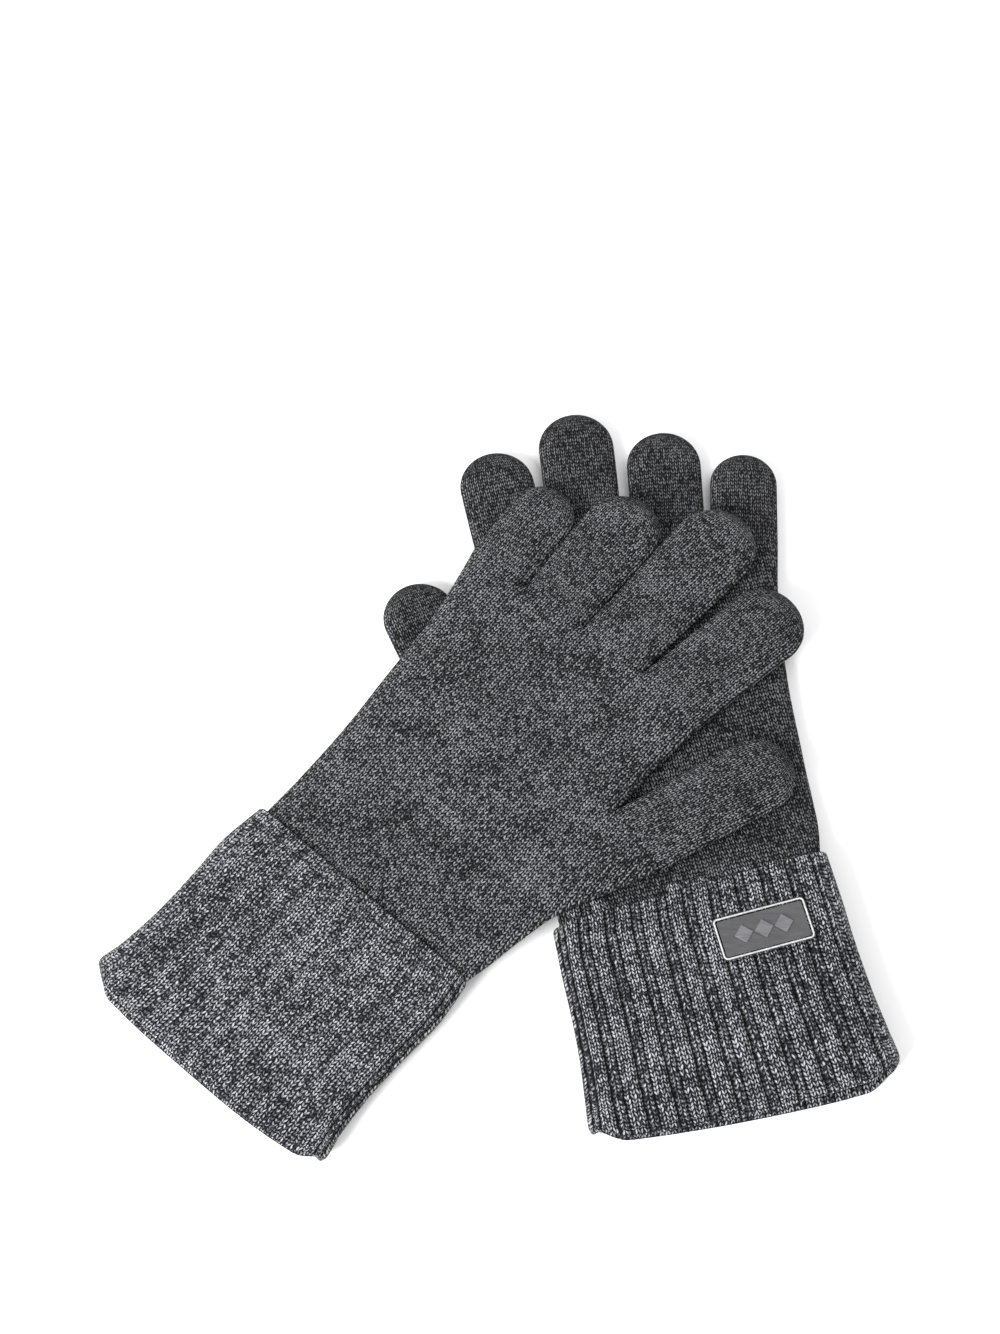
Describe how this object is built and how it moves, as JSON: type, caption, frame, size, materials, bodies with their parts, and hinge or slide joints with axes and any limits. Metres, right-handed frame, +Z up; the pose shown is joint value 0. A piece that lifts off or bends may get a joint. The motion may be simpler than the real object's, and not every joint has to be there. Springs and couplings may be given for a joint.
{
  "type": "touchscreen gloves",
  "caption": "Pair of knitted gloves with turned-back ribbed cuffs and conductive fingertip caps, laid flat with one glove across the other.",
  "frame": {"origin": "middle of the pair's outline at the surface it lies on", "axes": "+Z up from the surface, +Y away from the viewer over the fingers, +X to the viewer's right"},
  "size_m": [0.2408, 0.2469, 0.0201],
  "materials": {
    "plain_knit": "charcoal grey marl stocking stitch, soft matt wool",
    "rib_knit": "charcoal grey marl wide rib, soft matt wool",
    "touch_yarn": "grey marl stocking stitch with conductive thread",
    "label_patch": "smooth brushed grey satin weave",
    "label_border": "pale corded thread",
    "label_motif": "raised satin stitch",
    "label_stitches": "pale overcast thread"
  },
  "bodies": {
    "right_hand": {"right_hand": "plain_knit", "right_wrist_rib": "rib_knit"},
    "right_cuff": {"right_cuff": "rib_knit", "right_cuff_hem": "rib_knit", "right_label_patch": "label_patch", "right_label_border": "label_border", "right_label_motif": "label_motif", "right_label_stitches": "label_stitches"},
    "right_little_finger": {"right_little_finger": "plain_knit"},
    "right_ring_finger": {"right_ring_finger": "plain_knit"},
    "right_middle_finger": {"right_middle_finger": "plain_knit"},
    "right_index_finger": {"right_index_finger": "plain_knit", "right_index_touch_tip": "touch_yarn"},
    "right_thumb": {"right_thumb": "plain_knit", "right_thumb_touch_tip": "touch_yarn"},
    "left_hand": {"left_hand": "plain_knit", "left_wrist_rib": "rib_knit"},
    "left_cuff": {"left_cuff": "rib_knit", "left_cuff_hem": "rib_knit"},
    "left_little_finger": {"left_little_finger": "plain_knit"},
    "left_ring_finger": {"left_ring_finger": "plain_knit"},
    "left_middle_finger": {"left_middle_finger": "plain_knit"},
    "left_index_finger": {"left_index_finger": "plain_knit", "left_index_touch_tip": "touch_yarn"},
    "left_thumb": {"left_thumb": "plain_knit", "left_thumb_touch_tip": "touch_yarn"}
  },
  "joints": [
    {"name": "left_glove_lift", "type": "slide", "parent": "right_hand", "child": "left_hand", "axis": [0, 0, 1], "range_m": [0, 0.12]},
    {"name": "right_cuff_unfold", "type": "slide", "parent": "right_hand", "child": "right_cuff", "axis": [0.225, -0.9744, 0], "range_m": [0, 0.068]},
    {"name": "left_cuff_unfold", "type": "slide", "parent": "left_hand", "child": "left_cuff", "axis": [-0.6561, -0.7547, 0], "range_m": [0, 0.068]},
    {"name": "right_little_finger_spread", "type": "hinge", "parent": "right_hand", "child": "right_little_finger", "pos_m": [0.08165, 0.08206, 0.0042], "axis": [0, 0, 1], "range_deg": [-14, 3]},
    {"name": "right_ring_finger_spread", "type": "hinge", "parent": "right_hand", "child": "right_ring_finger", "pos_m": [0.05762, 0.07856, 0.0042], "axis": [0, 0, 1], "range_deg": [-4, 4]},
    {"name": "right_middle_finger_spread", "type": "hinge", "parent": "right_hand", "child": "right_middle_finger", "pos_m": [0.03165, 0.07462, 0.0042], "axis": [0, 0, 1], "range_deg": [-4, 4]},
    {"name": "right_index_finger_spread", "type": "hinge", "parent": "right_hand", "child": "right_index_finger", "pos_m": [0.00903, 0.06632, 0.0042], "axis": [0, 0, 1], "range_deg": [-4, 8]},
    {"name": "right_thumb_spread", "type": "hinge", "parent": "right_hand", "child": "right_thumb", "pos_m": [-0.00787, 0.02085, 0.0042], "axis": [0, 0, 1], "range_deg": [-4, 25]},
    {"name": "left_little_finger_flex", "type": "hinge", "parent": "left_hand", "child": "left_little_finger", "pos_m": [-0.00039, 0.06314, 0.0201], "axis": [0.8121, -0.5835, 0], "range_deg": [0, 65]},
    {"name": "left_ring_finger_flex", "type": "hinge", "parent": "left_hand", "child": "left_ring_finger", "pos_m": [0.01516, 0.048, 0.0201], "axis": [0.7771, -0.6293, 0], "range_deg": [0, 65]},
    {"name": "left_middle_finger_flex", "type": "hinge", "parent": "left_hand", "child": "left_middle_finger", "pos_m": [0.03384, 0.03426, 0.0201], "axis": [0.7373, -0.6756, 0], "range_deg": [0, 65]},
    {"name": "left_index_finger_flex", "type": "hinge", "parent": "left_hand", "child": "left_index_finger", "pos_m": [0.04933, 0.01607, 0.0201], "axis": [0.6494, -0.7604, 0], "range_deg": [0, 65]},
    {"name": "left_thumb_flex", "type": "hinge", "parent": "left_hand", "child": "left_thumb", "pos_m": [0.03904, -0.02787, 0.0201], "axis": [0.5, -0.866, 0], "range_deg": [0, 65]}
  ]
}
